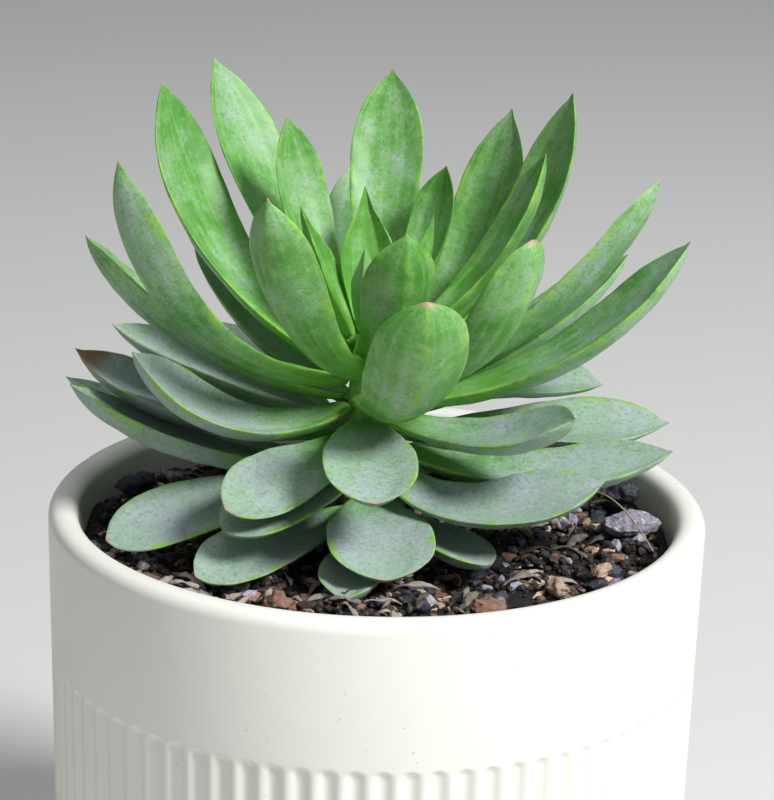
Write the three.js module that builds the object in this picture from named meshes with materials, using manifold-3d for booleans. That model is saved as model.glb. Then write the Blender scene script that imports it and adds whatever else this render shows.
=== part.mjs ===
// A potted echeveria: a fluted ceramic pot filled with gritty potting mix, and one rosette of thick pointed
// leaves that stand on a short rooted stem. Millimetres, +Z up, origin at the centre of the pot's foot.
import * as THREE from "three";
import { mergeVertices } from "three/addons/utils/BufferGeometryUtils.js";
import Module from "manifold-3d";

const wasm = await Module();
wasm.setup();

// ---------------------------------------------------------------- driving dimensions
const RIM_RADIUS = 55;
const POT_HEIGHT = 100;
const WALL = 5;
const FLOOR = 7;
const LIP_ROUND = 2.2; // radius of the rim's inner and outer edges
const BAND_HEIGHT = 24.5; // plain band between the rim and the flutes
const FOOT_TAPER = 1.6; // how much narrower the wall is at the foot than at the rim
const FLUTES = 80;
const FLUTE_DEPTH = 0.7;
const FLUTE_ARRIS = 1.1; // flat left between two flutes
const FLUTE_FOOT = 9; // height at which the flutes stop
const FOOT_ROUND = 3;
const FOOT_RING = 9; // width of the ring that the pot stands on
const FOOT_HOLLOW = 1.5;
const DRAIN_RADIUS = 6;

const FIT_GAP = 0.3; // between pieces that touch
const MIX_BELOW_RIM = 7;
const MIX_BUMP = 0.9;

const STEM_AT = new THREE.Vector2(-2, 0); // the plant grows a little off the pot's centre
const STEM_RADIUS = 4.2;
const STEM_TOP = 31; // above the rim
const ROOT_DEPTH = 36; // below the rim

// ---------------------------------------------------------------- materials
const glazed = new THREE.MeshStandardMaterial({ color: 0xeeede3, roughness: 0.42, metalness: 0 });
const grit = new THREE.MeshStandardMaterial({ color: 0x3d3230, roughness: 0.95, metalness: 0 });
const bark = new THREE.MeshStandardMaterial({ color: 0x8c5f4d, roughness: 0.9, metalness: 0 });
const lava = new THREE.MeshStandardMaterial({ color: 0x6f6a78, roughness: 0.95, metalness: 0 });
const charcoal = new THREE.MeshStandardMaterial({ color: 0x2b2d36, roughness: 0.8, metalness: 0 });
const woody = new THREE.MeshStandardMaterial({ color: 0x9c8a5c, roughness: 0.9, metalness: 0 });
const bloomed = new THREE.MeshStandardMaterial({ color: 0x9db9a3, roughness: 0.6, metalness: 0 });
const fresh = new THREE.MeshStandardMaterial({ color: 0x7fb55a, roughness: 0.5, metalness: 0 });

const pottedEcheveria = new THREE.Group();

function addPiece(name, geometry, material) {
  const piece = new THREE.Mesh(geometry, material);
  piece.name = name;
  pottedEcheveria.add(piece);
}

// ---------------------------------------------------------------- solids that are cut or joined
function toSolid(geometry) {
  const bare = geometry.index ? geometry.toNonIndexed() : geometry.clone();
  bare.deleteAttribute("normal");
  bare.deleteAttribute("uv");
  const merged = mergeVertices(bare, 1e-3);
  return new wasm.Manifold(
    new wasm.Mesh({
      numProp: 3,
      vertProperties: merged.attributes.position.array,
      triVerts: new Uint32Array(merged.index.array),
    }),
  );
}

function toGeometry(solid) {
  const mesh = solid.getMesh();
  return new THREE.BufferGeometry()
    .setAttribute("position", new THREE.BufferAttribute(mesh.vertProperties, 3))
    .setIndex(new THREE.BufferAttribute(mesh.triVerts, 1));
}

// A profile of [radius, height] pairs, given from the axis outwards and up, turned about Z.
function turned(profile, segments) {
  const points = profile.map(([radius, height]) => new THREE.Vector2(radius, height));
  return new THREE.LatheGeometry(points, segments).rotateX(Math.PI / 2);
}

// Points of a quarter round in a profile, between two directions in degrees.
function rounding(centreRadius, centreHeight, radius, from, to, steps) {
  return Array.from({ length: steps + 1 }, (_, i) => {
    const angle = THREE.MathUtils.degToRad(from + ((to - from) * i) / steps);
    return [centreRadius + radius * Math.cos(angle), centreHeight + radius * Math.sin(angle)];
  });
}

// ---------------------------------------------------------------- pot
// One slip-cast piece: a straight wall with a plain band, a rounded rim, a foot ring and one drain hole.
const wallRadius = (height) => RIM_RADIUS - FOOT_TAPER * (1 - height / POT_HEIGHT);
const bandFoot = POT_HEIGHT - BAND_HEIGHT;
const insideRadius = (height) => wallRadius(height) - WALL;

function potBody() {
  const footOuter = wallRadius(0) - FOOT_ROUND;
  const footInner = footOuter - FOOT_RING;
  const profile = [
    [DRAIN_RADIUS, FOOT_HOLLOW],
    [footInner, FOOT_HOLLOW],
    [footInner + FOOT_HOLLOW, 0],
    ...rounding(footOuter, FOOT_ROUND, FOOT_ROUND, -90, 0, 2),
    [wallRadius(bandFoot), bandFoot],
    ...rounding(RIM_RADIUS - LIP_ROUND, POT_HEIGHT - LIP_ROUND, LIP_ROUND, 0, 90, 3),
    ...rounding(RIM_RADIUS - WALL + LIP_ROUND, POT_HEIGHT - LIP_ROUND, LIP_ROUND, 90, 180, 3),
    [insideRadius(FLOOR + FOOT_ROUND), FLOOR + FOOT_ROUND],
    [insideRadius(FLOOR) - FOOT_ROUND, FLOOR],
    [DRAIN_RADIUS, FLOOR],
    [DRAIN_RADIUS, FOOT_HOLLOW],
  ];
  return toSolid(turned(profile, FLUTES));
}

// One flute is a shallow groove with a round top and foot, cut by a round-ended rod that leans with the wall.
function fluteCutter() {
  const halfWidth = (Math.PI * wallRadius(bandFoot)) / FLUTES - FLUTE_ARRIS / 2;
  const rodRadius = (halfWidth ** 2 + FLUTE_DEPTH ** 2) / (2 * FLUTE_DEPTH);
  const length = bandFoot - FLUTE_FOOT - 2 * halfWidth;
  const middle = (bandFoot + FLUTE_FOOT) / 2;
  const slope = Math.atan(FOOT_TAPER / POT_HEIGHT);
  return new THREE.CapsuleGeometry(rodRadius, length, 2, 8, 1)
    .rotateX(Math.PI / 2)
    .rotateZ(Math.PI / 8)
    .rotateY(slope)
    .translate(wallRadius(middle) - FLUTE_DEPTH + rodRadius, 0, middle);
}

function pot() {
  const cutter = fluteCutter();
  const cuts = [];
  for (let i = 0; i < FLUTES; i += 1) {
    cuts.push(toSolid(cutter.clone().rotateZ((2 * Math.PI * (i + 0.5)) / FLUTES)));
  }
  return potBody().subtract(wasm.Manifold.union(cuts));
}

addPiece("pot", toGeometry(pot()), glazed);

// ---------------------------------------------------------------- stem with its roots
// A short thick stem carries every leaf, and goes down into the mix as a taproot with side roots.
const onPlant = (azimuth, reach, aboveRim) => {
  const angle = THREE.MathUtils.degToRad(azimuth);
  return new THREE.Vector3(
    STEM_AT.x + reach * Math.cos(angle),
    STEM_AT.y + reach * Math.sin(angle),
    POT_HEIGHT + aboveRim,
  );
};

const stemRadius = (aboveRim) => {
  if (aboveRim > 10) return STEM_RADIUS - 0.09 * (aboveRim - 10);
  return STEM_RADIUS;
};

function stemProfile(grow) {
  return [
    [0, -ROOT_DEPTH - grow],
    [0.6 + grow, -ROOT_DEPTH + 1],
    [1.8 + grow, -24],
    [3.2 + grow, -13],
    [stemRadius(0) + grow, -MIX_BELOW_RIM],
    [stemRadius(10) + grow, 10],
    [stemRadius(STEM_TOP - 5) + grow, STEM_TOP - 5],
    [stemRadius(STEM_TOP) * 0.7 + grow, STEM_TOP - 1.5],
    [0, STEM_TOP + grow],
  ];
}

// Each side root: direction, the height it leaves the taproot, and how far it spreads and drops.
const SIDE_ROOTS = [
  { azimuth: 20, leaves: -15, spread: 24, drop: 20 },
  { azimuth: 95, leaves: -18, spread: 20, drop: 26 },
  { azimuth: 165, leaves: -14, spread: 25, drop: 18 },
  { azimuth: 235, leaves: -19, spread: 18, drop: 28 },
  { azimuth: 305, leaves: -16, spread: 23, drop: 22 },
];

function sideRoot({ azimuth, leaves, spread, drop }, radius) {
  const run = new THREE.CatmullRomCurve3([
    onPlant(azimuth, 0.5, leaves),
    onPlant(azimuth, spread * 0.35, leaves - drop * 0.2),
    onPlant(azimuth + 14, spread * 0.75, leaves - drop * 0.6),
    onPlant(azimuth + 6, spread, leaves - drop),
  ]);
  const section = new THREE.Shape(new THREE.EllipseCurve(0, 0, radius, radius).getPoints(6).slice(0, 6));
  return new THREE.ExtrudeGeometry(section, { steps: 6, extrudePath: run, bevelEnabled: false });
}

function stemWithRoots(grow) {
  const stem = turned(stemProfile(grow), 14).translate(STEM_AT.x, STEM_AT.y, POT_HEIGHT);
  const roots = SIDE_ROOTS.map((root) => toSolid(sideRoot(root, 0.8 + grow)));
  return wasm.Manifold.union([toSolid(stem), ...roots]);
}

addPiece("stem_with_roots", toGeometry(stemWithRoots(0)), woody);

// ---------------------------------------------------------------- potting mix
// The mix fills the pot to a little below the rim, with a rough top, and holds the roots.
const mixLevel = (x, y) =>
  POT_HEIGHT -
  MIX_BELOW_RIM +
  MIX_BUMP * (Math.sin(x * 0.31 + 1.1) * Math.cos(y * 0.27) + 0.5 * Math.sin(x * 0.13 - y * 0.45));

function pottingMix() {
  const clear = WALL + FIT_GAP;
  const floor = FLOOR + FIT_GAP;
  const topRadius = wallRadius(POT_HEIGHT - MIX_BELOW_RIM) - clear;
  const rings = 6;
  const surface = Array.from({ length: rings }, (_, i) => [topRadius * (1 - i / rings), POT_HEIGHT - MIX_BELOW_RIM]);
  const profile = [
    [0, floor],
    [insideRadius(FLOOR) - FOOT_ROUND - FIT_GAP, floor],
    [insideRadius(FLOOR + FOOT_ROUND) - FIT_GAP, FLOOR + FOOT_ROUND + FIT_GAP],
    ...surface,
    [0, POT_HEIGHT - MIX_BELOW_RIM],
  ];
  const geometry = turned(profile, 40);
  const position = geometry.attributes.position;
  for (let i = 0; i < position.count; i += 1) {
    if (position.getZ(i) > POT_HEIGHT / 2) position.setZ(i, mixLevel(position.getX(i), position.getY(i)));
  }
  return toSolid(geometry).subtract(stemWithRoots(FIT_GAP));
}

addPiece("potting_mix", toGeometry(pottingMix()), grit);

// ---------------------------------------------------------------- leaves
// A leaf is a sphere pulled out along its midrib: one pole sits on the stem and the other is the pointed tip.
// Each outline row is a station: share of the length, of the half width, of the thickness, and of the cupping.
const GROWN_OUTLINE = [
  [0.0, 0.0, 0.0, 0],
  [0.012, 0.32, 0.62, 0.1],
  [0.14, 0.48, 0.8, 0.3],
  [0.3, 0.68, 0.95, 0.6],
  [0.46, 0.86, 1.0, 0.9],
  [0.61, 0.98, 1.0, 1.0],
  [0.75, 1.0, 0.9, 1.0],
  [0.86, 0.78, 0.7, 0.8],
  [0.94, 0.36, 0.42, 0.4],
  [0.972, 0.11, 0.17, 0.1],
  [1.0, 0.0, 0.0, 0],
];
const BLUNT_OUTLINE = [
  [0.0, 0.0, 0.0, 0],
  [0.012, 0.28, 0.62, 0.1],
  [0.14, 0.44, 0.8, 0.3],
  [0.3, 0.66, 0.95, 0.6],
  [0.46, 0.86, 1.0, 0.9],
  [0.61, 0.98, 1.0, 1.0],
  [0.76, 1.0, 0.9, 1.0],
  [0.88, 0.86, 0.75, 0.8],
  [0.96, 0.5, 0.5, 0.4],
  [0.985, 0.2, 0.25, 0.1],
  [1.0, 0.0, 0.0, 0],
];
const HEART_OUTLINE = [
  [0.0, 0.0, 0.0, 0],
  [0.03, 0.5, 0.7, 0.3],
  [0.16, 0.68, 0.9, 0.6],
  [0.3, 0.88, 1.0, 0.9],
  [0.44, 1.0, 1.0, 1.0],
  [0.57, 0.92, 0.9, 1.0],
  [0.69, 0.66, 0.7, 0.8],
  [0.8, 0.36, 0.5, 0.5],
  [0.9, 0.16, 0.3, 0.2],
  [0.96, 0.07, 0.14, 0],
  [1.0, 0.0, 0.0, 0],
];
// Around a section: share of the half width, and of the thickness below the upper face.
const SECTION = [
  [1.0, 0.16],
  [0.6, 0.0],
  [0.0, 0.02],
  [-0.6, 0.0],
  [-1.0, 0.16],
  [-0.8, 0.52],
  [-0.42, 0.88],
  [0.0, 1.0],
  [0.42, 0.88],
  [0.8, 0.52],
];

// at: azimuth where the leaf leaves the stem, 0 along +X and 270 along -Y
// from: height on the stem, above the rim
// reach, lift: the tip's distance from the stem's axis and height above the rim
// sag: how far the midrib bows below a straight line from base to tip, square to that line
// swing: degrees by which the tip stands round from the base
// turn: roll about the midrib in degrees, growing towards the tip
// grip: extra share of the half width where the leaf clasps the stem
function leafGeometry(leaf) {
  const { at, from, reach, lift, sag, swing, width, turn, thick, cup, grip, outline } = leaf;
  const base = onPlant(at, stemRadius(from) + FIT_GAP, from);
  const tip = onPlant(at + swing, reach, lift);
  const rise = Math.atan2(lift - from, reach - stemRadius(from));
  const middle = onPlant(
    at + swing * 0.3,
    (stemRadius(from) + reach) / 2 + sag * Math.sin(rise),
    (from + lift) / 2 - sag * Math.cos(rise),
  );
  const control = middle.clone().multiplyScalar(2).sub(base.clone().add(tip).multiplyScalar(0.5));
  const midrib = new THREE.QuadraticBezierCurve3(base, control, tip);
  const outward = onPlant(at, 1, 0).sub(onPlant(at, 0, 0));
  const up = new THREE.Vector3(0, 0, 1);

  const frameAt = (along) => {
    const tangent = midrib.getTangentAt(along);
    const heading = new THREE.Vector3(tangent.x, tangent.y, 0).addScaledVector(outward, 0.35);
    const side = new THREE.Vector3().crossVectors(heading, up);
    side.addScaledVector(tangent, -side.dot(tangent)).normalize();
    const roll = THREE.MathUtils.degToRad(turn * Math.min(1, 0.25 + along));
    side.applyAxisAngle(tangent, roll);
    return { side, face: new THREE.Vector3().crossVectors(side, tangent) };
  };

  const geometry = new THREE.SphereGeometry(1, SECTION.length, outline.length - 1);
  const position = geometry.attributes.position;
  outline.forEach(([along, wide, deep, cupped], row) => {
    const centre = midrib.getPointAt(along);
    const { side, face } = frameAt(along);
    const halfWidth = wide > 0 ? (width / 2) * (wide + grip * (1 - along) ** 3) : 0;
    for (let column = 0; column <= SECTION.length; column += 1) {
      const [across, below] = SECTION[column % SECTION.length];
      const raised = cup * width * cupped * across * across - thick * deep * below;
      const point = centre
        .clone()
        .addScaledVector(side, across * halfWidth)
        .addScaledVector(face, raised);
      position.setXYZ(row * (SECTION.length + 1) + column, point.x, point.y, point.z);
    }
  });
  return geometry;
}

const leafOf = (habit) => (at, from, reach, lift, sag, swing, width, turn, more) => ({
  ...habit, at, from, reach, lift, sag, swing, width, turn, ...more,
});
const grown = leafOf({ thick: 3, cup: 0.16, grip: 0, outline: GROWN_OUTLINE });
const blunt = leafOf({ thick: 3.2, cup: 0.12, grip: 0.25, outline: BLUNT_OUTLINE });
const young = leafOf({ thick: 2.4, cup: 0.2, grip: 0.1, outline: GROWN_OUTLINE });
const heart = leafOf({ thick: 2, cup: 0.3, grip: 0, outline: HEART_OUTLINE });

// The rosette from the oldest leaves, which lie on the mix, to the heart.
//        at  from reach lift  sag swing width turn
const ROSETTE = {
  ground_leaf: [
    blunt(208, 5, 45, -2.5, -2, -8, 13, -28, { grip: 0.1 }),
    blunt(237, 0.5, 38, -4, -1, -12, 12.5, -20, { grip: 0 }),
    grown(267, -3, 34, -4.8, 0, -2, 11, 0),
    blunt(276, 2.5, 32, -2, -2, 1, 18, 0, { grip: 0 }),
    blunt(308, 1, 31, -2, 0, 4, 10, 0, { grip: 0 }),
    grown(305, 9.5, 43.5, 11.5, 5, 28, 13.5, 24),
    grown(60, 3, 46, 0, 0, 0, 12, 0),
    grown(100, 1, 44, -3, 0, 0, 12, 0),
    grown(140, 3, 46, 0, 0, 0, 12, 0),
  ],
  lower_leaf: [
    blunt(241, 12.7, 35, 7.5, -1, -10, 13, -25),
    blunt(270, 15.5, 35, 12, -2, 3, 15.5, 0, { grip: 0.1 }),
    blunt(242, 8, 34, 3.5, -1, -14, 13, -15, { grip: 0.1 }),
    grown(328, 16.3, 42, 24, 4, -6, 12.2, 20, { grip: 0.1 }),
    grown(340, 11, 51.5, 14, 4, 8, 13, 15),
    grown(14, 12.5, 52, 12.5, 1, -5, 13, 20),
    grown(41, 14.2, 44, 16, -2, -18, 13, 18),
    grown(195, 8.5, 49.5, 21, 4, -9, 12.5, 5),
    grown(188, 13.5, 49, 25, 4, -10, 13, -8),
    grown(210, 17.7, 41, 30, 7, -8, 14, -18),
    grown(163, 7, 52, 18, 4, 8, 12, 10),
    grown(149, 13, 48, 24.5, 2, 9, 12, -5),
    grown(127, 11, 47, 20, 2, 0, 12, 0),
    grown(80, 10, 48, 16, 2, 0, 12.5, 0),
  ],
  outer_leaf: [
    grown(175, 19.1, 47, 45, 5.7, 5, 12.8, 8),
    grown(196, 22, 42, 60.5, 10.5, 0, 13.5, 22),
    grown(135, 17.2, 44, 41, 5, 0, 12, 0),
    grown(353, 18.3, 52, 48, 7, 2, 13, 12),
    grown(30, 17, 48, 39, 4, -6, 12.5, 0),
    grown(2, 21, 47, 57, 6, 0, 13, -20),
    grown(95, 18.2, 42, 49, 5, 0, 12, 0),
    grown(72, 16.6, 45, 42, 5, 0, 12, 0),
  ],
  middle_leaf: [
    grown(151, 23, 42, 66.5, 9, -2, 14, -6),
    grown(126, 25, 43, 68.5, 5, 5, 13.5, 0),
    grown(85, 26, 30, 68, 4, 0, 12.7, 0),
    grown(57, 19.5, 42, 60.5, 9, -1, 13, 0),
    grown(35, 24, 40.5, 66, 9, 0, 12.5, 0),
    blunt(285, 20, 39, 46, 8, -2, 16.5, 0),
    blunt(314, 22.5, 36, 53, 7, 0, 13.5, 0, { grip: 0 }),
    grown(243, 23.5, 35, 60, 6, 0, 12.5, 0, { grip: 0.25 }),
  ],
  inner_leaf: [
    young(132, 27, 22, 62, 4, 0, 10.5, 0),
    young(19, 27, 30, 58.5, 5, 0, 9.5, 0),
    young(48, 28.5, 18, 55, 3, 0, 9, 0),
    young(284, 27, 23, 52.5, 5, 0, 12, 0, { grip: 0.3 }),
  ],
  heart_leaf: [
    heart(98, 29.5, 10, 52, 1, 0, 9.5, 0),
    heart(162, 28.5, 12.5, 50, 1, 0, 6.5, 0),
    heart(355, 29, 10, 50.5, 1, 0, 6, 0),
    heart(255, 30, 4, 45, 0, 0, 6, 0),
  ],
};

for (const [ring, leaves] of Object.entries(ROSETTE)) {
  const material = ring === "heart_leaf" || ring === "inner_leaf" ? fresh : bloomed;
  leaves.forEach((leaf, i) => addPiece(`${ring}_${i + 1}`, leafGeometry(leaf), material));
}

// ---------------------------------------------------------------- loose pieces on the mix
// The biggest stones and bark chips of the mix lie on top of it. Each is a rough lump.
// at: x and y, size: length, width and height, heading: degrees from +X
const TOP_PIECES = {
  porous_stone: { at: [43, 3], size: [12, 8, 5], heading: 10, seed: 1, material: lava },
  charcoal_lump: { at: [42.5, 17], size: [9, 8, 6], heading: 50, seed: 2, material: charcoal },
  bark_chip_1: { at: [33, 31], size: [9, 5, 4], heading: 130, seed: 3, material: bark },
  bark_chip_2: { at: [18, -35], size: [8, 5, 4], heading: 20, seed: 4, material: bark },
  bark_chip_3: { at: [-15, -37], size: [8, 6, 4], heading: 160, seed: 5, material: bark },
  tan_chip_1: { at: [37, -17], size: [7, 4, 3], heading: 70, seed: 6, material: woody },
  tan_chip_2: { at: [29, -25], size: [8, 4, 3.5], heading: 110, seed: 7, material: woody },
  dark_stone: { at: [-42, 18], size: [9, 7, 5], heading: 30, seed: 8, material: charcoal },
};

function roughLump({ at: [x, y], size: [length, width, height], heading, seed }) {
  const lump = new THREE.IcosahedronGeometry(1, 1);
  const position = lump.attributes.position;
  for (let i = 0; i < position.count; i += 1) {
    const point = new THREE.Vector3().fromBufferAttribute(position, i);
    const coarse = Math.sin(3.1 * point.x + seed) * Math.cos(2.7 * point.y - 2 * seed);
    const fine = Math.sin(5.3 * point.z + 4.1 * point.x + 3 * seed);
    point.multiplyScalar(0.86 + 0.1 * coarse + 0.05 * fine);
    position.setXYZ(i, point.x, point.y, point.z);
  }
  lump.scale(length / 2, width / 2, height / 2).rotateZ(THREE.MathUtils.degToRad(heading));
  lump.translate(x, y, 0).computeBoundingBox();
  let ground = -Infinity;
  for (let i = 0; i < position.count; i += 1) {
    ground = Math.max(ground, mixLevel(position.getX(i), position.getY(i)));
  }
  return lump.translate(0, 0, ground + FIT_GAP - lump.boundingBox.min.z);
}

for (const [name, piece] of Object.entries(TOP_PIECES)) {
  addPiece(name, roughLump(piece), piece.material);
}

export default pottedEcheveria;
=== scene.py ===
import math
import random

import bmesh
import bpy
from mathutils import Matrix, Vector, noise


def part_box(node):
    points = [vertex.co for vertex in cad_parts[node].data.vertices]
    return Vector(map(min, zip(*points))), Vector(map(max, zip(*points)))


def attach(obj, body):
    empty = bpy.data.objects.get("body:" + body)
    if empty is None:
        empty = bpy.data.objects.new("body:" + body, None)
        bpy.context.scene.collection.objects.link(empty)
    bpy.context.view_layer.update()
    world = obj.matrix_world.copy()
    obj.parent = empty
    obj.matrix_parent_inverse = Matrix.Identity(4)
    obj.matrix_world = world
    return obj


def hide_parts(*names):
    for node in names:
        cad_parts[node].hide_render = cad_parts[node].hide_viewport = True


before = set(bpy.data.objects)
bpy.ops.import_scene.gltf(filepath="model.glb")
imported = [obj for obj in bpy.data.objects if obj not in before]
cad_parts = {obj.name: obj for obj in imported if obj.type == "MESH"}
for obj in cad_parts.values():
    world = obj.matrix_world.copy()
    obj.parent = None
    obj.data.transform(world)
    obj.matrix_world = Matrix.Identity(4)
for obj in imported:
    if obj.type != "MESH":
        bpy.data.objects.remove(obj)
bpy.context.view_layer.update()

# ---------------------------------------------------------------- pot
# The pot is one slip-cast ceramic piece under a satin cream glaze. Below a plain band its wall has eighty
# shallow flutes with arched ends. It stands on a foot ring and drains through one hole in the floor.
MM = 0.001
POT_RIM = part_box("pot")[1]
RIM_RADIUS = POT_RIM.x
FOOT_TAPER = 1.6 * MM
WALL = 5 * MM
LIP_ROUND = 2.2 * MM
FOOT_ROUND = 3 * MM
FLOOR_TOP = 7 * MM
FOOT_HOLLOW = 1.5 * MM
FOOT_RING = 9 * MM
DRAIN_RADIUS = 6 * MM
FLUTES = 80
STEPS_PER_FLUTE = 8
STEPS_TO_EDGE = 3  # from the middle of a flute to its edge
FLUTE_DEPTH = 0.7 * MM
FLUTE_ARCH = 1.6 * MM  # radius of a flute's round ends
FLUTE_FOOT = 9 * MM
BAND_FOOT = 75.5 * MM
ARCH_ROWS = (0.0, 0.06, 0.16, 0.32, 0.55, 0.8, 1.0)  # shares of the arch, from the end of the flute
PLAIN_ROWS = (0.4 * MM, 1.2 * MM)  # rows that keep the wall beyond the flutes flat
SHARP_EDGE = math.radians(50)
CORNER_STEPS = 6
WALL_SLACK = 0.1 * MM  # a vertex this near to the outside belongs to it
WELD = 1e-6  # vertices nearer than this are one
DUST_RADII = (53 * MM, 51.5 * MM)  # dust lies only on the inside wall
DUST_TOP = (99 * MM, 93.5 * MM)
DUST_FOOT = (86 * MM, 90 * MM)


def wall_radius(height):
    """Radius of the pot's outside, which narrows a little to the foot."""
    return RIM_RADIUS - FOOT_TAPER * (1 - height / POT_RIM.z)


def new_object(name, bm):
    """A smooth-shaded mesh object from a bmesh, which is then freed."""
    mesh = bpy.data.meshes.new(name)
    bm.to_mesh(mesh)
    bm.free()
    mesh.polygons.foreach_set("use_smooth", [True] * len(mesh.polygons))
    piece = bpy.data.objects.new(name, mesh)
    bpy.context.scene.collection.objects.link(piece)
    return piece


def thrown(bm, steps):
    """Turns the wire that a bmesh holds once about Z."""
    outline = bm.verts[:] + bm.edges[:]
    full_turn = {"angle": 2 * math.pi, "steps": steps, "use_merge": True}
    bmesh.ops.spin(bm, geom=outline, axis=(0, 0, 1), cent=(0, 0, 0), **full_turn)
    bmesh.ops.remove_doubles(bm, verts=bm.verts, dist=0.1 * WELD)
    bmesh.ops.recalc_face_normals(bm, faces=bm.faces)


def wire(bm, corners, closed):
    """A wire through (radius, height, round) corners, with its corners rounded."""
    verts = [bm.verts.new((radius, 0, height)) for radius, height, _ in corners]
    for one, other in zip(verts, verts[1:] + verts[:1] if closed else verts[1:]):
        bm.edges.new((one, other))
    for vert, (_, _, radius) in zip(verts, corners):
        if radius:
            rounding = {"offset": radius, "segments": CORNER_STEPS, "profile": 0.5, "material": -1}
            bmesh.ops.bevel(bm, geom=[vert], affect="VERTICES", **rounding)


def flute_cut(x, y, height):
    """Depth of the flutes at a point of the wall."""
    turn = math.atan2(y, x) / (2 * math.pi) * FLUTES - 0.5
    across = (turn - round(turn)) * STEPS_PER_FLUTE / STEPS_TO_EDGE
    past_end = max(0, FLUTE_FOOT + FLUTE_ARCH - height, height - BAND_FOOT + FLUTE_ARCH) / FLUTE_ARCH
    return FLUTE_DEPTH * max(0, 1 - across**2 - past_end**2)


def pot_body():
    """The whole pot from one closed outline, with its flutes pressed into the wall."""
    foot = wall_radius(0)
    ring_inside = foot - FOOT_ROUND - FOOT_RING
    floor_edge = wall_radius(FLOOR_TOP) - WALL
    lower_rows = [FLUTE_FOOT + share * FLUTE_ARCH for share in ARCH_ROWS]
    upper_rows = [BAND_FOOT - share * FLUTE_ARCH for share in reversed(ARCH_ROWS)]
    bm = bmesh.new()
    wire(
        bm,
        [
            (DRAIN_RADIUS, FOOT_HOLLOW, 0),
            (ring_inside, FOOT_HOLLOW, 0),
            (ring_inside + FOOT_HOLLOW, 0, 0),
            (foot, 0, FOOT_ROUND),
            *((wall_radius(FLUTE_FOOT - gap), FLUTE_FOOT - gap, 0) for gap in reversed(PLAIN_ROWS)),
            *((wall_radius(height), height, 0) for height in lower_rows + upper_rows),
            *((wall_radius(BAND_FOOT + gap), BAND_FOOT + gap, 0) for gap in PLAIN_ROWS),
            (RIM_RADIUS, POT_RIM.z, LIP_ROUND),
            (RIM_RADIUS - WALL, POT_RIM.z, LIP_ROUND),
            (floor_edge, FLOOR_TOP, FOOT_ROUND),
            (DRAIN_RADIUS, FLOOR_TOP, 0),
        ],
        closed=True,
    )
    thrown(bm, FLUTES * STEPS_PER_FLUTE)
    for vert in bm.verts:
        radius = vert.co.xy.length
        if FLUTE_FOOT <= vert.co.z <= BAND_FOOT and radius > wall_radius(vert.co.z) - WALL_SLACK:
            vert.co.xy *= 1 - flute_cut(*vert.co) / radius
    piece = new_object("glazed_pot", bm)
    piece.data.set_sharp_from_angle(angle=SHARP_EDGE)
    return piece


class Shade:
    """A socket in a material. Sums of values are written as sums and add their Math nodes."""

    def __init__(self, tree, socket=None):
        self.tree = tree
        self.socket = socket

    def node(self, kind, sockets=(), output=0, **settings):
        """Adds a node: its type, the values or links of its sockets, and its settings. Gives one output."""
        made = self.tree.nodes.new("ShaderNode" + kind)
        for name, value in settings.items():
            setattr(made, name, value)
        for name, value in dict(sockets).items():
            if isinstance(value, Shade):
                self.tree.links.new(value.socket, made.inputs[name])
            else:
                made.inputs[name].default_value = value
        return Shade(self.tree, made.outputs[output] if made.outputs else None)

    def math(self, operation, *values):
        return self.node("Math", enumerate(values), operation=operation)

    def __add__(self, other):
        return self.math("ADD", self, other)

    def __sub__(self, other):
        return self.math("SUBTRACT", self, other)

    def __rsub__(self, other):
        return self.math("SUBTRACT", other, self)

    def __mul__(self, other):
        return self.math("MULTIPLY", self, other)

    __radd__ = __add__
    __rmul__ = __mul__

    def step(self, low, high):
        """0 below low and 1 above high, or the other way round where low is the greater."""
        ends = {"From Min": min(low, high), "From Max": max(low, high)}
        ends.update({"To Min": float(low > high), "To Max": float(low < high)})
        return self.node("MapRange", {"Value": self, **ends}, interpolation_type="SMOOTHSTEP")

    def blend(self, under, over):
        """The colour under, and over where this mask is 1."""
        return self.node("Mix", {0: self, 6: under, 7: over}, output=2, data_type="RGBA")

    def noise(self, place, size, detail=2.0, roughness=0.5):
        """Noise from 0 to 1 whose features are about size across."""
        return self.node(
            "TexNoise",
            {"Vector": place, "Scale": 1 / size, "Detail": detail, "Roughness": roughness},
        )


def colour(code):
    """A linear colour from six hexadecimal digits."""
    shares = [int(code[i : i + 2], 16) / 255 for i in (0, 2, 4)]
    return (*(((s + 0.055) / 1.055) ** 2.4 if s > 0.04 else s / 12.92 for s in shares), 1)


def new_material(name):
    material = bpy.data.materials.new(name)
    material.use_nodes = True
    material.node_tree.nodes.clear()
    return material, Shade(material.node_tree)


def surface(shade, height, relief, sockets):
    """Joins a Principled surface, with a bump relief deep, to the material's output."""
    bump = shade.node("Bump", {"Height": height, "Distance": relief, "Strength": 1.0}, output="Normal")
    principled = shade.node("BsdfPrincipled", {**sockets, "Normal": bump})
    shade.node("OutputMaterial", {"Surface": principled})


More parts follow.
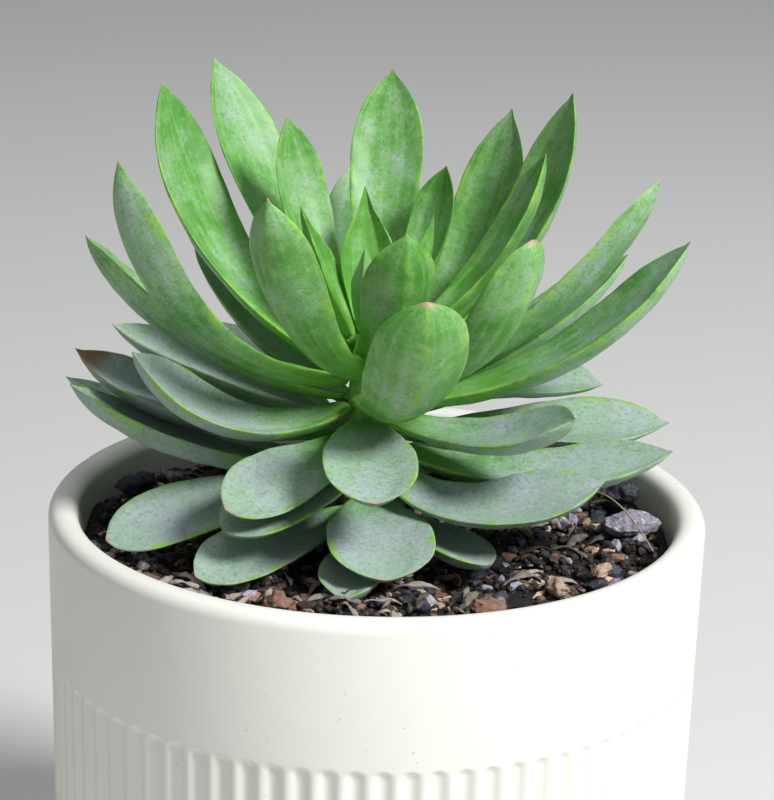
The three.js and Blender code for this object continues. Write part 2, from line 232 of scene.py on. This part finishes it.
def cream_glaze():
    material, shade = new_material("cream_glaze")
    place = shade.node("TexCoord", output="Object")
    x, y, height = (shade.node("SeparateXYZ", {0: place}, output=axis) for axis in "XYZ")
    inside_wall = (x * x + y * y).step(*(radius**2 for radius in DUST_RADII))
    cloud = shade.noise(place, 22 * MM, detail=3)
    specks = shade.noise(place, 1.1 * MM, detail=1).step(0.74, 0.78)
    soot = shade.noise(place, 0.5 * MM, detail=2).step(0.62, 0.7)
    splashed = height.step(*DUST_TOP) * height.step(*DUST_FOOT)
    dust = inside_wall * splashed * soot * shade.noise(place, 9 * MM).step(0.48, 0.62)
    glaze = cloud.blend(colour("e6e5dc"), colour("eeede6"))
    glaze = (specks * 0.35).blend(glaze, colour("a8a08c"))
    glaze = (dust * 0.8).blend(glaze, colour("4b463c"))
    orange_peel = shade.noise(place, 0.9 * MM, detail=2)
    surface(
        shade,
        orange_peel,
        0.012 * MM,
        {
            "Base Color": glaze,
            "Roughness": 0.34 + 0.12 * cloud + 0.3 * dust,
            "Coat Weight": 0.12,
            "Coat Roughness": 0.25,
            "Subsurface Weight": 0.05,
            "Subsurface Radius": (0.002, 0.0018, 0.0014),
        },
    )
    return material


pot_piece = pot_body()
pot_piece.data.materials.append(cream_glaze())
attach(pot_piece, "root")
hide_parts("pot")

# ---------------------------------------------------------------- stem with its roots
# A short thick stem carries the leaves. It is green and smooth between them and corky below, and goes down
# into the mix as a taproot with side roots. Plant and roots grew as one piece.
STEM_GREEN_ABOVE = 104 * MM
STEM_FADE = 8 * MM  # height over which cork turns to green
RIDGE_SCALE = 900  # ridges of the cork in a metre
RIDGE_HEIGHT = 0.12 * MM


def refined(node, cuts, relief):
    """A copy of a CAD node's mesh, merged and cut finer, with each new vertex moved out by relief(vertex)."""
    bm = bmesh.new()
    bm.from_mesh(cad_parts[node].data)
    bmesh.ops.remove_doubles(bm, verts=bm.verts, dist=WELD)
    for _ in range(cuts):
        bmesh.ops.subdivide_edges(bm, edges=bm.edges, cuts=1, use_grid_fill=True)
    bm.normal_update()
    moves = [vert.normal * relief(vert) for vert in bm.verts]
    for vert, move in zip(bm.verts, moves):
        vert.co += move
    return bm


def corky_stem():
    material, shade = new_material("corky_stem")
    place = shade.node("TexCoord", output="Object")
    height = shade.node("SeparateXYZ", {0: place}, output="Z")
    grain = shade.noise(place, 1.4 * MM, detail=5, roughness=0.65)
    patches = shade.noise(place, 5 * MM, detail=3)
    green = (height + 0.012 * (patches - 0.5)).step(STEM_GREEN_ABOVE, STEM_GREEN_ABOVE + STEM_FADE)
    cork = grain.step(0.3, 0.7).blend(colour("6b5235"), colour("b09a70"))
    fresh = patches.step(0.35, 0.65).blend(colour("6fa544"), colour("8fc060"))
    surface(
        shade,
        grain,
        0.15 * MM,
        {"Base Color": green.blend(cork, fresh), "Roughness": 0.85 - 0.35 * green},
    )
    return material


def bark_relief(vert):
    """Low ridges in the cork."""
    return RIDGE_HEIGHT * noise.fractal(vert.co * RIDGE_SCALE, 0.8, 2.0, 3)


stem = new_object("rooted_stem", refined("stem_with_roots", 1, bark_relief))
stem.data.materials.append(corky_stem())
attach(stem, "root")
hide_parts("stem_with_roots")

# ---------------------------------------------------------------- potting mix
# The mix is fine dark peat with grit, filled to a little below the rim. Its top is rough, and crumbs of peat,
# charcoal, bark and pumice lie loose on it, with curled strips of husk and a thin dry root.
MIX_FOOT, MIX_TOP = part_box("potting_mix")
MIX_RADIUS = MIX_TOP.x
MIX_LEVEL = 93 * MM
MIX_WAVE = 0.9 * MM
MIX_TAPER = 1.7 * MM
MIX_FOOT_ROUND = 3 * MM
BED_RINGS = 48
BED_STEPS = 150
BED_ABOVE = 60 * MM  # every vertex above this height is on the mix's top
BED_EDGE = 4 * MM  # strip along the wall where the roughness fades
CRUMB_GAP = 2 * MM  # crumbs keep this far from the wall


def mix_level(x, y):
    """Height of the mix at a point, without its crumbs."""
    long_wave = math.sin(x / MM * 0.31 + 1.1) * math.cos(y / MM * 0.27)
    return MIX_LEVEL + MIX_WAVE * (long_wave + 0.5 * math.sin(x / MM * 0.13 - y / MM * 0.45))


def mix_body():
    """The mix as one turned solid with a rough, gently waved top."""
    low_radius = MIX_RADIUS - MIX_TAPER
    foot_corner = (low_radius - MIX_FOOT_ROUND, MIX_FOOT.z, 0)
    side_corner = (low_radius, MIX_FOOT.z + MIX_FOOT_ROUND, 0)
    rings = [(MIX_RADIUS * share / BED_RINGS, MIX_LEVEL, 0) for share in range(BED_RINGS, -1, -1)]
    bm = bmesh.new()
    wire(bm, [(0, MIX_FOOT.z, 0), foot_corner, side_corner, *rings], closed=False)
    thrown(bm, BED_STEPS)
    for vert in bm.verts:
        if vert.co.z > BED_ABOVE:
            rough = noise.fractal(vert.co * 260, 0.7, 2.1, 4)
            inside = min(1, (MIX_RADIUS - vert.co.xy.length) / BED_EDGE)
            vert.co.z = mix_level(vert.co.x, vert.co.y) + (0.9 * rough * inside - 0.35) * MM
    return new_object("peat_bed", bm)


def gritty(name, dark, light, grain_size, relief, roughness=0.9, flecks=None, fleck_share=0.0):
    """A rough mineral or woody finish between two colours, a crumb's own tone shifting the mix."""
    material, shade = new_material(name)
    place = shade.node("TexCoord", output="Object")
    tone = shade.node("Attribute", output="Fac", attribute_name="tone")
    grain = shade.noise(place, grain_size, detail=4, roughness=0.6)
    base = (0.55 * grain + 0.6 * tone).step(0.25, 0.85).blend(colour(dark), colour(light))
    if flecks:
        spots = shade.noise(place, 0.55 * MM, detail=2).step(0.72 - fleck_share, 0.76 - fleck_share)
        base = spots.blend(base, colour(flecks))
    surface(shade, grain, relief, {"Base Color": base, "Roughness": roughness - 0.15 * (1 - grain)})
    return material


def scattered(name, count, sizes, shape, jag, seed):
    """Loose crumbs over the mix, joined in one mesh. Each is a jagged lump with its own tone."""
    draw = random.Random(seed)
    bm = bmesh.new()
    tone = bm.verts.layers.float.new("tone")
    for _ in range(count):
        reach = math.sqrt(draw.random()) * (MIX_RADIUS - CRUMB_GAP)
        angle = draw.uniform(0, 2 * math.pi)
        x, y = reach * math.cos(angle), reach * math.sin(angle)
        size = draw.uniform(*sizes) * MM * draw.uniform(0.7, 1.0)
        lean, roll = draw.uniform(-0.5, 0.5), draw.uniform(-0.4, 0.4)
        tilt = Matrix.Rotation(lean, 4, "X") @ Matrix.Rotation(roll, 4, "Y")
        spread = [share * draw.uniform(0.8, 1.2) * size / 2 for share in shape]
        inside = min(1, (MIX_RADIUS - size / 2) / max(reach, MM))
        x, y = x * inside, y * inside
        base = Vector((x, y, mix_level(x, y) + spread[2] * draw.uniform(-0.2, 0.7)))
        turn = Matrix.Rotation(draw.uniform(0, 2 * math.pi), 4, "Z")
        lump = bmesh.ops.create_icosphere(bm, subdivisions=1, radius=1)["verts"]
        own_tone = draw.random()
        place = Matrix.Translation(base) @ turn @ tilt @ Matrix.Diagonal((*spread, 1))
        for vert in lump:
            vert.co *= 1 + draw.uniform(-jag, jag) * 0.5
            vert.co = place @ vert.co
            vert[tone] = own_tone
    piece = new_object(name, bm)
    piece.data.polygons.foreach_set("use_smooth", [False] * len(piece.data.polygons))
    return piece


peat = gritty("peat", "120f0d", "40342c", 1.2 * MM, 0.35 * MM, flecks="6f6258", fleck_share=0.08)
charcoal = gritty("charcoal", "0e0f14", "3b3d4c", 0.9 * MM, 0.3 * MM, 0.7, flecks="6c6d7a", fleck_share=0.05)
bark = gritty("pine_bark", "3f2a24", "a07a68", 1.1 * MM, 0.25 * MM)
pumice = gritty("porous_rock", "4e4a56", "a49fae", 0.7 * MM, 0.3 * MM, flecks="c9c6d0", fleck_share=0.12)
tan_wood = gritty("tan_husk", "7a6350", "cdb39b", 1.3 * MM, 0.2 * MM)
# Name, count, sizes in millimetres, shape, jaggedness, seed, material and slot of each kind of crumb.
CRUMB_KINDS = (
    ("peat_crumbs", 1900, (0.8, 2.6), (1, 0.8, 0.7), 0.5, 11, peat, "potting_mix"),
    ("charcoal_grit", 520, (1.5, 4.4), (1, 0.8, 0.6), 0.45, 12, charcoal, "charcoal"),
    ("bark_bits", 430, (1.6, 5.0), (1, 0.55, 0.35), 0.5, 13, bark, "bark"),
    ("pumice_grit", 240, (1.2, 3.8), (1, 0.8, 0.6), 0.5, 14, pumice, "porous_stone"),
    ("tan_bits", 260, (1.6, 4.6), (1, 0.45, 0.35), 0.5, 15, tan_wood, "tan_chip"),
)

bed = mix_body()
bed.data.materials.append(peat)
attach(bed, "root")
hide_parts("potting_mix")
for *crumb_facts, finish, slot_name in CRUMB_KINDS:
    crumbs = scattered(*crumb_facts)
    crumbs.data.materials.append(finish)
    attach(crumbs, "root")

HUSK_COUNT = 130
HUSK_THICKNESS = 0.22 * MM
HUSK_LENGTHS = (4, 9)  # these three in millimetres
HUSK_WIDTHS = (0.6, 1.7)
HUSK_REACHES = (24, 45)  # distances from the pot's axis
HUSK_BENDS = (0.4, 1.8)
# The dry root's way over the stones: x, y and the height above the mix, in millimetres.
DRY_ROOT_WAY = (
    (30, 17, 4.5), (34, 14, 4.8), (36.5, 10, 6.0), (38, 5.5, 7.6),
    (41, 1.5, 7.0), (44, -3, 4.5), (46, -8, 2.2),
)


def husk_strips():
    """Curled fibrous strips, each arched along its length and hollow across."""
    draw = random.Random(21)
    bm = bmesh.new()
    tone = bm.verts.layers.float.new("tone")
    for _ in range(HUSK_COUNT):
        length, width = draw.uniform(*HUSK_LENGTHS) * MM, draw.uniform(*HUSK_WIDTHS) * MM
        bend, reach = draw.uniform(*HUSK_BENDS), draw.uniform(*HUSK_REACHES) * MM
        angle, heading, own_tone = draw.uniform(0, 2 * math.pi), draw.uniform(0, math.pi), draw.random()
        x, y = reach * math.cos(angle), reach * math.sin(angle)
        lift = draw.uniform(1.2, 2.6) * MM
        turn = Matrix.Rotation(heading, 4, "Z") @ Matrix.Rotation(draw.uniform(-0.5, 0.5), 4, "X")
        place = Matrix.Translation((x, y, mix_level(x, y) + lift)) @ turn
        for vert in bmesh.ops.create_grid(bm, x_segments=9, y_segments=3, size=0.5)["verts"]:
            u, w = vert.co.x, vert.co.y
            arch = Vector((math.sin(u * bend), 0, math.cos(u * bend) - 1)) * length / bend
            narrowing = (1 - 0.7 * abs(2 * u) ** 3) * (1 + draw.uniform(-0.35, 0.35))
            ripple = 0.25 * MM * math.sin(9 * u + w * 4)
            arch += Vector((0, w * width * narrowing, -0.8 * width * w * w + ripple))
            vert.co = place @ Matrix.Rotation(1.6 * u * (own_tone - 0.5), 4, "X") @ arch
            vert[tone] = own_tone
    bmesh.ops.solidify(bm, geom=bm.faces[:], thickness=HUSK_THICKNESS)
    return new_object("husk_strips", bm)


def dry_root():
    """One thin dry root that winds over the stones."""
    line = bpy.data.curves.new("dry_root", "CURVE")
    line.dimensions = "3D"
    line.bevel_depth = 0.14 * MM
    line.bevel_resolution = 1
    line.resolution_u = 6
    run = line.splines.new("NURBS")
    run.points.add(len(DRY_ROOT_WAY) - 1)
    for point, (x, y, above) in zip(run.points, DRY_ROOT_WAY):
        point.co = (x * MM, y * MM, MIX_LEVEL + above * MM, 1)
    run.use_endpoint_u = True
    run.order_u = 4
    guide = bpy.data.objects.new("dry_root", line)
    bpy.context.scene.collection.objects.link(guide)
    bpy.context.view_layer.update()
    mesh = bpy.data.meshes.new_from_object(guide.evaluated_get(bpy.context.evaluated_depsgraph_get()))
    bpy.data.objects.remove(guide)
    piece = bpy.data.objects.new("thin_dry_root", mesh)
    bpy.context.scene.collection.objects.link(piece)
    return piece


grey_husk = gritty("grey_husk", "3a332f", "a89c92", 0.9 * MM, 0.2 * MM)
pale_root = gritty("pale_root", "a89a86", "d8cdbb", 1.5 * MM, 0.05 * MM)
for strand, finish in ((husk_strips(), grey_husk), (dry_root(), pale_root)):
    strand.data.materials.append(finish)
    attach(strand, "root")

# ---------------------------------------------------------------- stones and chips on the mix
# The biggest pieces of the mix lie on top: a slab of porous rock, lumps of charcoal and chips of bark.
# They were tipped in with the mix and only rest on it.
PORE_SPACING = 1.15 * MM
PORE_RADIUS = 0.42  # share of the spacing


def jagged(size, depth):
    """Broken facets: steps in a coarse noise, roughened by a finer one."""

    def relief(vert):
        facets = noise.cell(vert.co / (size * MM)) - 0.5
        return MM * depth * (0.9 * facets + noise.fractal(vert.co / (0.8 * size * MM), 0.5, 2.3, 5) - 0.3)

    return relief


def pitted(vert):
    """Small open pores in a rough rock."""
    nearest = noise.voronoi(vert.co / PORE_SPACING)[0][0]
    pore = max(0, 1 - (nearest / PORE_RADIUS) ** 2)
    return MM * (0.25 * noise.fractal(vert.co / (2.6 * MM), 0.7, 2.0, 4) - 0.38 * pore)


# CAD node, name here, number of times its edges are cut in half, relief, material and slot.
TOP_PIECES = (
    ("porous_stone", "pitted_slab", 3, pitted, pumice, "porous_stone"),
    ("charcoal_lump", "charcoal_chunk", 2, jagged(3.0, 0.7), charcoal, "charcoal"),
    ("bark_chip_1", "bark_flake_1", 2, jagged(2.0, 0.5), bark, "bark"),
    ("bark_chip_2", "bark_flake_2", 2, jagged(2.0, 0.5), bark, "bark"),
    ("bark_chip_3", "bark_flake_3", 2, jagged(2.0, 0.5), bark, "bark"),
    ("tan_chip_1", "husk_flake_1", 2, jagged(1.8, 0.4), tan_wood, "tan_chip"),
    ("tan_chip_2", "husk_flake_2", 2, jagged(1.8, 0.4), tan_wood, "tan_chip"),
    ("dark_stone", "dark_pebble", 2, jagged(3.0, 0.5), charcoal, "charcoal"),
)
for node, piece_name, cuts, relief, finish, slot_name in TOP_PIECES:
    lump = new_object(piece_name, refined(node, cuts, relief))
    tones = lump.data.attributes.new("tone", "FLOAT", "POINT")
    tones.data.foreach_set("value", [0.5] * len(lump.data.vertices))
    lump.data.materials.append(finish)
    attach(lump, "root")
    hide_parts(node)

# ---------------------------------------------------------------- leaves
# Each leaf is one thick pointed blade that grew from the stem: a flat, slightly hollow upper face, a keeled
# underside and a soft point. A pale waxy bloom covers the green, and is rubbed off along edges and keels.

# Around a leaf's section, from one margin over the upper face to the other and back below: share of the
# half width, and 1 for the upper face.
SECTION = (
    (1, 0.5), (0.6, 1), (0, 1), (-0.6, 1), (-1, 0.5),
    (-0.8, 0), (-0.42, 0), (0, 0), (0.42, 0), (0.8, 0),
)
KEEL = 7
FACE = 2  # the middle of the upper face
MARGINS = (0, 4)
NECK_RINGS = 4  # rings at the base that have no crease
KEEL_CREASE = 0.45
MARGIN_CREASE = 0.25
HEART_HEIGHT = 0.1  # a leaf's base is the pole nearer to this height on the axis
PASSES = 4  # times that a cage is drawn outwards, with the share of the way, and its limit beside an edge
PASS_SHARE = 0.7
MOST_SHARE = 0.25
OWN_SHARE = 0.35  # how far a corner holds its smooth surface to itself
FINENESS = 3  # levels of subdivision


def rings_from(pole):
    """The rings of vertices that lie round a leaf, from one of its poles to the other."""
    rings, seen = [[pole]], {pole}
    while True:
        ahead = {e.other_vert(v) for v in rings[-1] for e in v.link_edges} - seen
        if not ahead:
            return rings
        rings.append(sorted(ahead, key=lambda vert: vert.index))
        seen |= ahead


def loop_of(ring):
    """A ring's vertices in order round the leaf."""
    members, loop, at = set(ring), [], ring[0]
    while at is not None:
        loop.append(at)
        beside = (edge.other_vert(at) for edge in at.link_edges)
        at = next((vert for vert in beside if vert in members - set(loop)), None)
    return loop


def turned_to(loop, wanted):
    """The loop, begun at the vertex and walked in the direction that best match the wanted directions."""
    middle = sum((vert.co for vert in loop), Vector()) / len(loop)
    ways = [way[i:] + way[:i] for way in (loop, loop[::-1]) for i in range(len(loop))]
    return max(ways, key=lambda way: sum((v.co - middle).normalized().dot(w) for v, w in zip(way, wanted)))


def in_section_order(rings, axis):
    """Puts the vertices of every ring in the order of SECTION, from the widest ring to both ends."""
    widest = len(rings) * 2 // 3
    loop = loop_of(rings[widest])
    pairs = [(i, j) for i in range(len(loop)) for j in range(i)]
    i, j = max(pairs, key=lambda pair: (loop[pair[0]].co - loop[pair[1]].co).length)
    start = i if (j - i) % len(loop) == MARGINS[1] else j
    loop = loop[start:] + loop[:start]
    near, far = MARGINS
    if (loop[FACE].co - loop[KEEL].co).cross(loop[near].co - loop[far].co).dot(axis) < 0:
        loop = loop[far::-1] + loop[:far:-1]
    rings[widest] = loop
    for steps in (range(widest + 1, len(rings) - 1), range(widest - 1, 0, -1)):
        guide = loop
        for i in steps:
            middle = sum((vert.co for vert in guide), Vector()) / len(guide)
            guide = turned_to(loop_of(rings[i]), [(vert.co - middle).normalized() for vert in guide])
            rings[i] = guide


def leaf_cage(node):
    """A leaf's CAD mesh as quads, with attributes that say where on the leaf each vertex is."""
    bm = bmesh.new()
    bm.from_mesh(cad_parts[node].data)
    bmesh.ops.remove_doubles(bm, verts=bm.verts, dist=WELD)
    layers = {name: bm.verts.layers.float.new(name) for name in ("along", "across", "upper")}
    crease = bm.edges.layers.float.new("crease_edge")
    bm.verts.index_update()
    poles = [vert for vert in bm.verts if len(vert.link_edges) == len(SECTION)]
    base, tip = sorted(poles, key=lambda vert: vert.co.xy.length_squared + (vert.co.z - HEART_HEIGHT) ** 2)
    rings = rings_from(base)
    in_section_order(rings, tip.co - base.co)
    column = {vert: c for ring in rings[1:-1] for c, vert in enumerate(ring)}
    ring_of = {vert: i for i, ring in enumerate(rings) for vert in ring}
    diagonals = [
        e
        for e in bm.edges
        if all(v in column for v in e.verts)
        and column[e.verts[0]] != column[e.verts[1]]
        and ring_of[e.verts[0]] != ring_of[e.verts[1]]
    ]
    bmesh.ops.dissolve_edges(bm, edges=diagonals)
    middles = [sum((v.co for v in ring), Vector()) / len(ring) for ring in rings]
    run = [0.0]
    for one, other in zip(middles, middles[1:]):
        run.append(run[-1] + (other - one).length)
    for i, ring in enumerate(rings):
        for vert in ring:
            across, upper = SECTION[column[vert]] if vert in column else (0, 0.5)
            vert[layers["along"]] = run[i] / run[-1]
            vert[layers["across"]] = across
            vert[layers["upper"]] = upper
    for edge in bm.edges:
        columns = {column.get(v) for v in edge.verts}
        if len(columns) == 1 and min(ring_of[v] for v in edge.verts) >= NECK_RINGS:
            if columns == {KEEL}:
                edge[crease] = KEEL_CREASE
            elif columns <= set(MARGINS):
                edge[crease] = MARGIN_CREASE
    return bm


def drawn_to(bm):
    """Moves a cage outwards so that its smooth surface passes through the corners that it had."""
    wanted = {vert: vert.co.copy() for vert in bm.verts}
    for _ in range(PASSES):
        limits = {}
        for vert in bm.verts:
            n = len(vert.link_edges)
            beside = sum((e.other_vert(vert).co for e in vert.link_edges), Vector())
            over = sum((f.calc_center_median() for f in vert.link_faces), Vector())
            mean = (vert.co * n * (n - 2) + beside + over) / (n * n)
            limits[vert] = mean.lerp(vert.co, OWN_SHARE)
        for vert in bm.verts:
            move = PASS_SHARE * (wanted[vert] - limits[vert])
            most = MOST_SHARE * min(e.calc_length() for e in vert.link_edges)
            vert.co += move * min(1, most / max(move.length, 1e-9))


def leaf_piece(node, bloom, age):
    """A leaf as a smooth copy of its CAD node, with low swellings and furrows, and its bloom and age."""
    bm = leaf_cage(node)
    drawn_to(bm)
    cage = new_object(node + "_blade", bm)
    smooth = cage.modifiers.new("smooth", "SUBSURF")
    smooth.levels = smooth.render_levels = FINENESS
    bpy.context.view_layer.update()
    fine = bpy.data.meshes.new_from_object(cage.evaluated_get(bpy.context.evaluated_depsgraph_get()))
    cage.modifiers.clear()
    cage.data = fine
    seed = Vector((sum(map(ord, node)) % 97, len(node), 0))
    across, upper, along = ([d.value for d in fine.attributes[n].data] for n in ("across", "upper", "along"))
    outward = [vert.normal.copy() for vert in fine.vertices]
    for i, vert in enumerate(fine.vertices):
        swell = 0.22 * noise.noise(vert.co * 150 + seed) + 0.1 * noise.noise(vert.co * 420 + seed)
        furrow = math.exp(-(((abs(across[i]) - 0.45) / 0.16) ** 2)) * max(0, 2 * upper[i] - 1)
        swell -= 0.22 * furrow * (0.5 + noise.noise(Vector((along[i] * 4, across[i], 0)) + seed))
        taper = min(1, (1 - along[i]) / 0.12)
        vert.co += outward[i] * swell * taper * MM
    for name, value in (("bloom", bloom), ("age", age)):
        layer = fine.attributes.new(name, "FLOAT", "POINT")
        layer.data.foreach_set("value", [value] * len(fine.vertices))
    return cage


def leaf_skin():
    material, shade = new_material("leaf_skin")
    place = shade.node("TexCoord", output="Object")
    along, across, upper, bloom, age = (
        shade.node("Attribute", output="Fac", attribute_name=name)
        for name in ("along", "across", "upper", "bloom", "age")
    )
    off_axis = shade.math("ABSOLUTE", across)
    patches = shade.noise(place, 9 * MM, detail=3, roughness=0.6)
    mottle = shade.noise(place, 1.3 * MM, detail=3, roughness=0.65)
    grain = shade.noise(place, 0.35 * MM, detail=2)
    streaks = shade.noise(
        shade.node("CombineXYZ", {"X": 2.2 * along, "Y": 7 * across, "Z": 3 * upper + 7 * age}), 1.0, detail=3
    )
    green = patches.step(0.3, 0.7).blend(colour("4f9136"), colour("70b048"))
    green = (streaks.step(0.45, 0.75) * 0.5).blend(green, colour("83ba57"))
    base_green = along.step(0.45, 0.05)
    green = (base_green * 0.55).blend(green, colour("7fc245"))
    wax = colour("8aad86")
    blue_wax = colour("a2aeb2")
    waxy = (0.55 * patches.step(0.35, 0.7) + 0.45 * age).blend(wax, blue_wax)
    cover = bloom * (0.45 + 0.75 * along.step(0.05, 0.6)) + 0.9 * (patches - 0.5) + 0.7 * (mottle - 0.5)
    cover = cover + 0.35 * (streaks - 0.5) + 0.5 * (grain - 0.5)
    margin = off_axis.step(0.72, 0.95)
    keel = off_axis.step(0.2, 0.03) * upper.step(0.3, 0.1) * along.step(0.25, 0.5)
    rubbed = shade.noise(place, 4.5 * MM, detail=4, roughness=0.65)
    edge_line = 0.5 * off_axis.step(0.93, 0.99) * patches.step(0.35, 0.55)
    worn = shade.math("MINIMUM", (margin + 0.8 * keel) * rubbed.step(0.46, 0.6) + edge_line, 1.0)
    cover = cover.step(0.12, 0.85) * (1 - 0.85 * worn)
    skin = cover.blend(green, waxy)
    skin = (worn * 0.6).blend(skin, colour("97c24e"))
    frost = shade.noise(place, 0.7 * MM, detail=3, roughness=0.7)
    skin = (frost.step(0.5, 0.72) * 0.25 * cover).blend(skin, colour("cdd6d2"))
    skin = (frost.step(0.5, 0.3) * 0.45).blend(skin, colour("4e7f42"))
    pits = shade.noise(place, 0.8 * MM, detail=2).step(0.7, 0.76) * shade.noise(place, 14 * MM).step(0.4, 0.6)
    skin = (pits * 0.55).blend(skin, colour("3f6b35"))
    blots = shade.noise(place, 2.6 * MM, detail=1).step(0.76, 0.8)
    skin = (blots * 0.5).blend(skin, colour("56813a"))
    tip = (along + 0.012 * (mottle - 0.5)).step(0.976, 0.998)
    skin = (tip * 0.85).blend(skin, colour("b9837a"))
    withered = age.step(1.5, 1.9) * (along + 0.1 * (patches - 0.5)).step(0.84, 0.93)
    skin = withered.blend(skin, colour("8a6a52"))
    surface(
        shade,
        0.6 * mottle + 0.4 * grain,
        0.05 * MM,
        {
            "Base Color": skin,
            "Roughness": 0.4 + 0.22 * cover,
            "Subsurface Weight": 0.18,
            "Subsurface Radius": (0.0012, 0.0022, 0.0006),
            "Specular IOR Level": 0.4,
        },
    )
    return material


# For each ring of leaves: how much bloom and how old, and the slot.
RINGS = {
    "ground_leaf": (0.85, 1.0, "leaf"),
    "lower_leaf": (0.68, 0.8, "leaf"),
    "outer_leaf": (0.4, 0.6, "leaf"),
    "middle_leaf": (0.28, 0.4, "leaf"),
    "inner_leaf": (0.25, 0.2, "young_leaf"),
    "heart_leaf": (0.18, 0.0, "young_leaf"),
}
WITHERED_LEAF = "lower_leaf_9"  # its tip has dried up
skin = leaf_skin()
for node in sorted(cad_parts):
    ring = node.rpartition("_")[0]
    if ring in RINGS:
        ring_bloom, ring_age, slot_name = RINGS[ring]
        if node == WITHERED_LEAF:
            ring_age = 2.0
        blade = leaf_piece(node, ring_bloom, ring_age)
        blade.data.materials.append(skin)
        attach(blade, "root")
        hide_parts(node)

# ---------------------------------------------------------------- stage
# The pot stands on a plain sheet of pale paper. A soft key light comes from the front right, a broad fill
# from the left and a weak one from above, and the camera looks down a little from the front.
FLOOR_SIZE = 6.0
TARGET = Vector((1.17, 0, 117.8)) * MM
DISTANCE = 0.5
PITCH = math.radians(17.9)
ROLL = math.radians(1.54)
LENS = 135.45


def area_light(name, direction, distance, size, power):
    light = bpy.data.lights.new(name, "AREA")
    light.shape = "DISK"
    light.size = size
    light.energy = power
    lamp = bpy.data.objects.new(name, light)
    lamp.location = TARGET + Vector(direction).normalized() * distance
    lamp.rotation_euler = (-Vector(direction)).to_track_quat("-Z", "Y").to_euler()
    bpy.context.scene.collection.objects.link(lamp)


floor_bm = bmesh.new()
bmesh.ops.create_grid(floor_bm, x_segments=1, y_segments=1, size=FLOOR_SIZE / 2)
studio_floor = new_object("studio_floor", floor_bm)
paper, paper_shade = new_material("pale_paper")
paper_place = paper_shade.node("TexCoord", output="Object")
paper_cloud = paper_shade.noise(paper_place, 0.4)
surface(
    paper_shade,
    paper_shade.noise(paper_place, 2 * MM),
    0.02 * MM,
    {"Base Color": paper_cloud.blend(colour("d9d9d6"), colour("dededb")), "Roughness": 0.8},
)
studio_floor.data.materials.append(paper)

area_light("key", (0.8, -0.62, 0.95), 1.2, 0.34, 18.5)
area_light("fill", (-0.8, -0.6, 0.9), 1.6, 1.2, 1.0)
area_light("top", (0.0, -0.1, 1.0), 1.5, 1.0, 5)
world = bpy.data.worlds.new("studio")
world.use_nodes = True
world.node_tree.nodes["Background"].inputs["Color"].default_value = (0.8, 0.85, 0.9, 1)
world.node_tree.nodes["Background"].inputs["Strength"].default_value = 0.22
bpy.context.scene.world = world
bpy.context.scene.view_settings.view_transform = "Standard"

forward = Vector((0, math.cos(PITCH), -math.sin(PITCH)))
level_up = Vector((0, math.sin(PITCH), math.cos(PITCH)))
level_right = Vector((1, 0, 0))
right = level_right * math.cos(ROLL) + level_up * math.sin(ROLL)
up = level_up * math.cos(ROLL) - level_right * math.sin(ROLL)
lens = bpy.data.cameras.new("camera")
lens.lens = LENS
lens.sensor_width = 36
lens.clip_start, lens.clip_end = 0.01, 20
camera = bpy.data.objects.new("camera", lens)
facing = Matrix((right, up, -forward)).transposed().to_4x4()
camera.matrix_world = Matrix.Translation(TARGET - forward * DISTANCE) @ facing
bpy.context.scene.collection.objects.link(camera)
bpy.context.scene.camera = camera
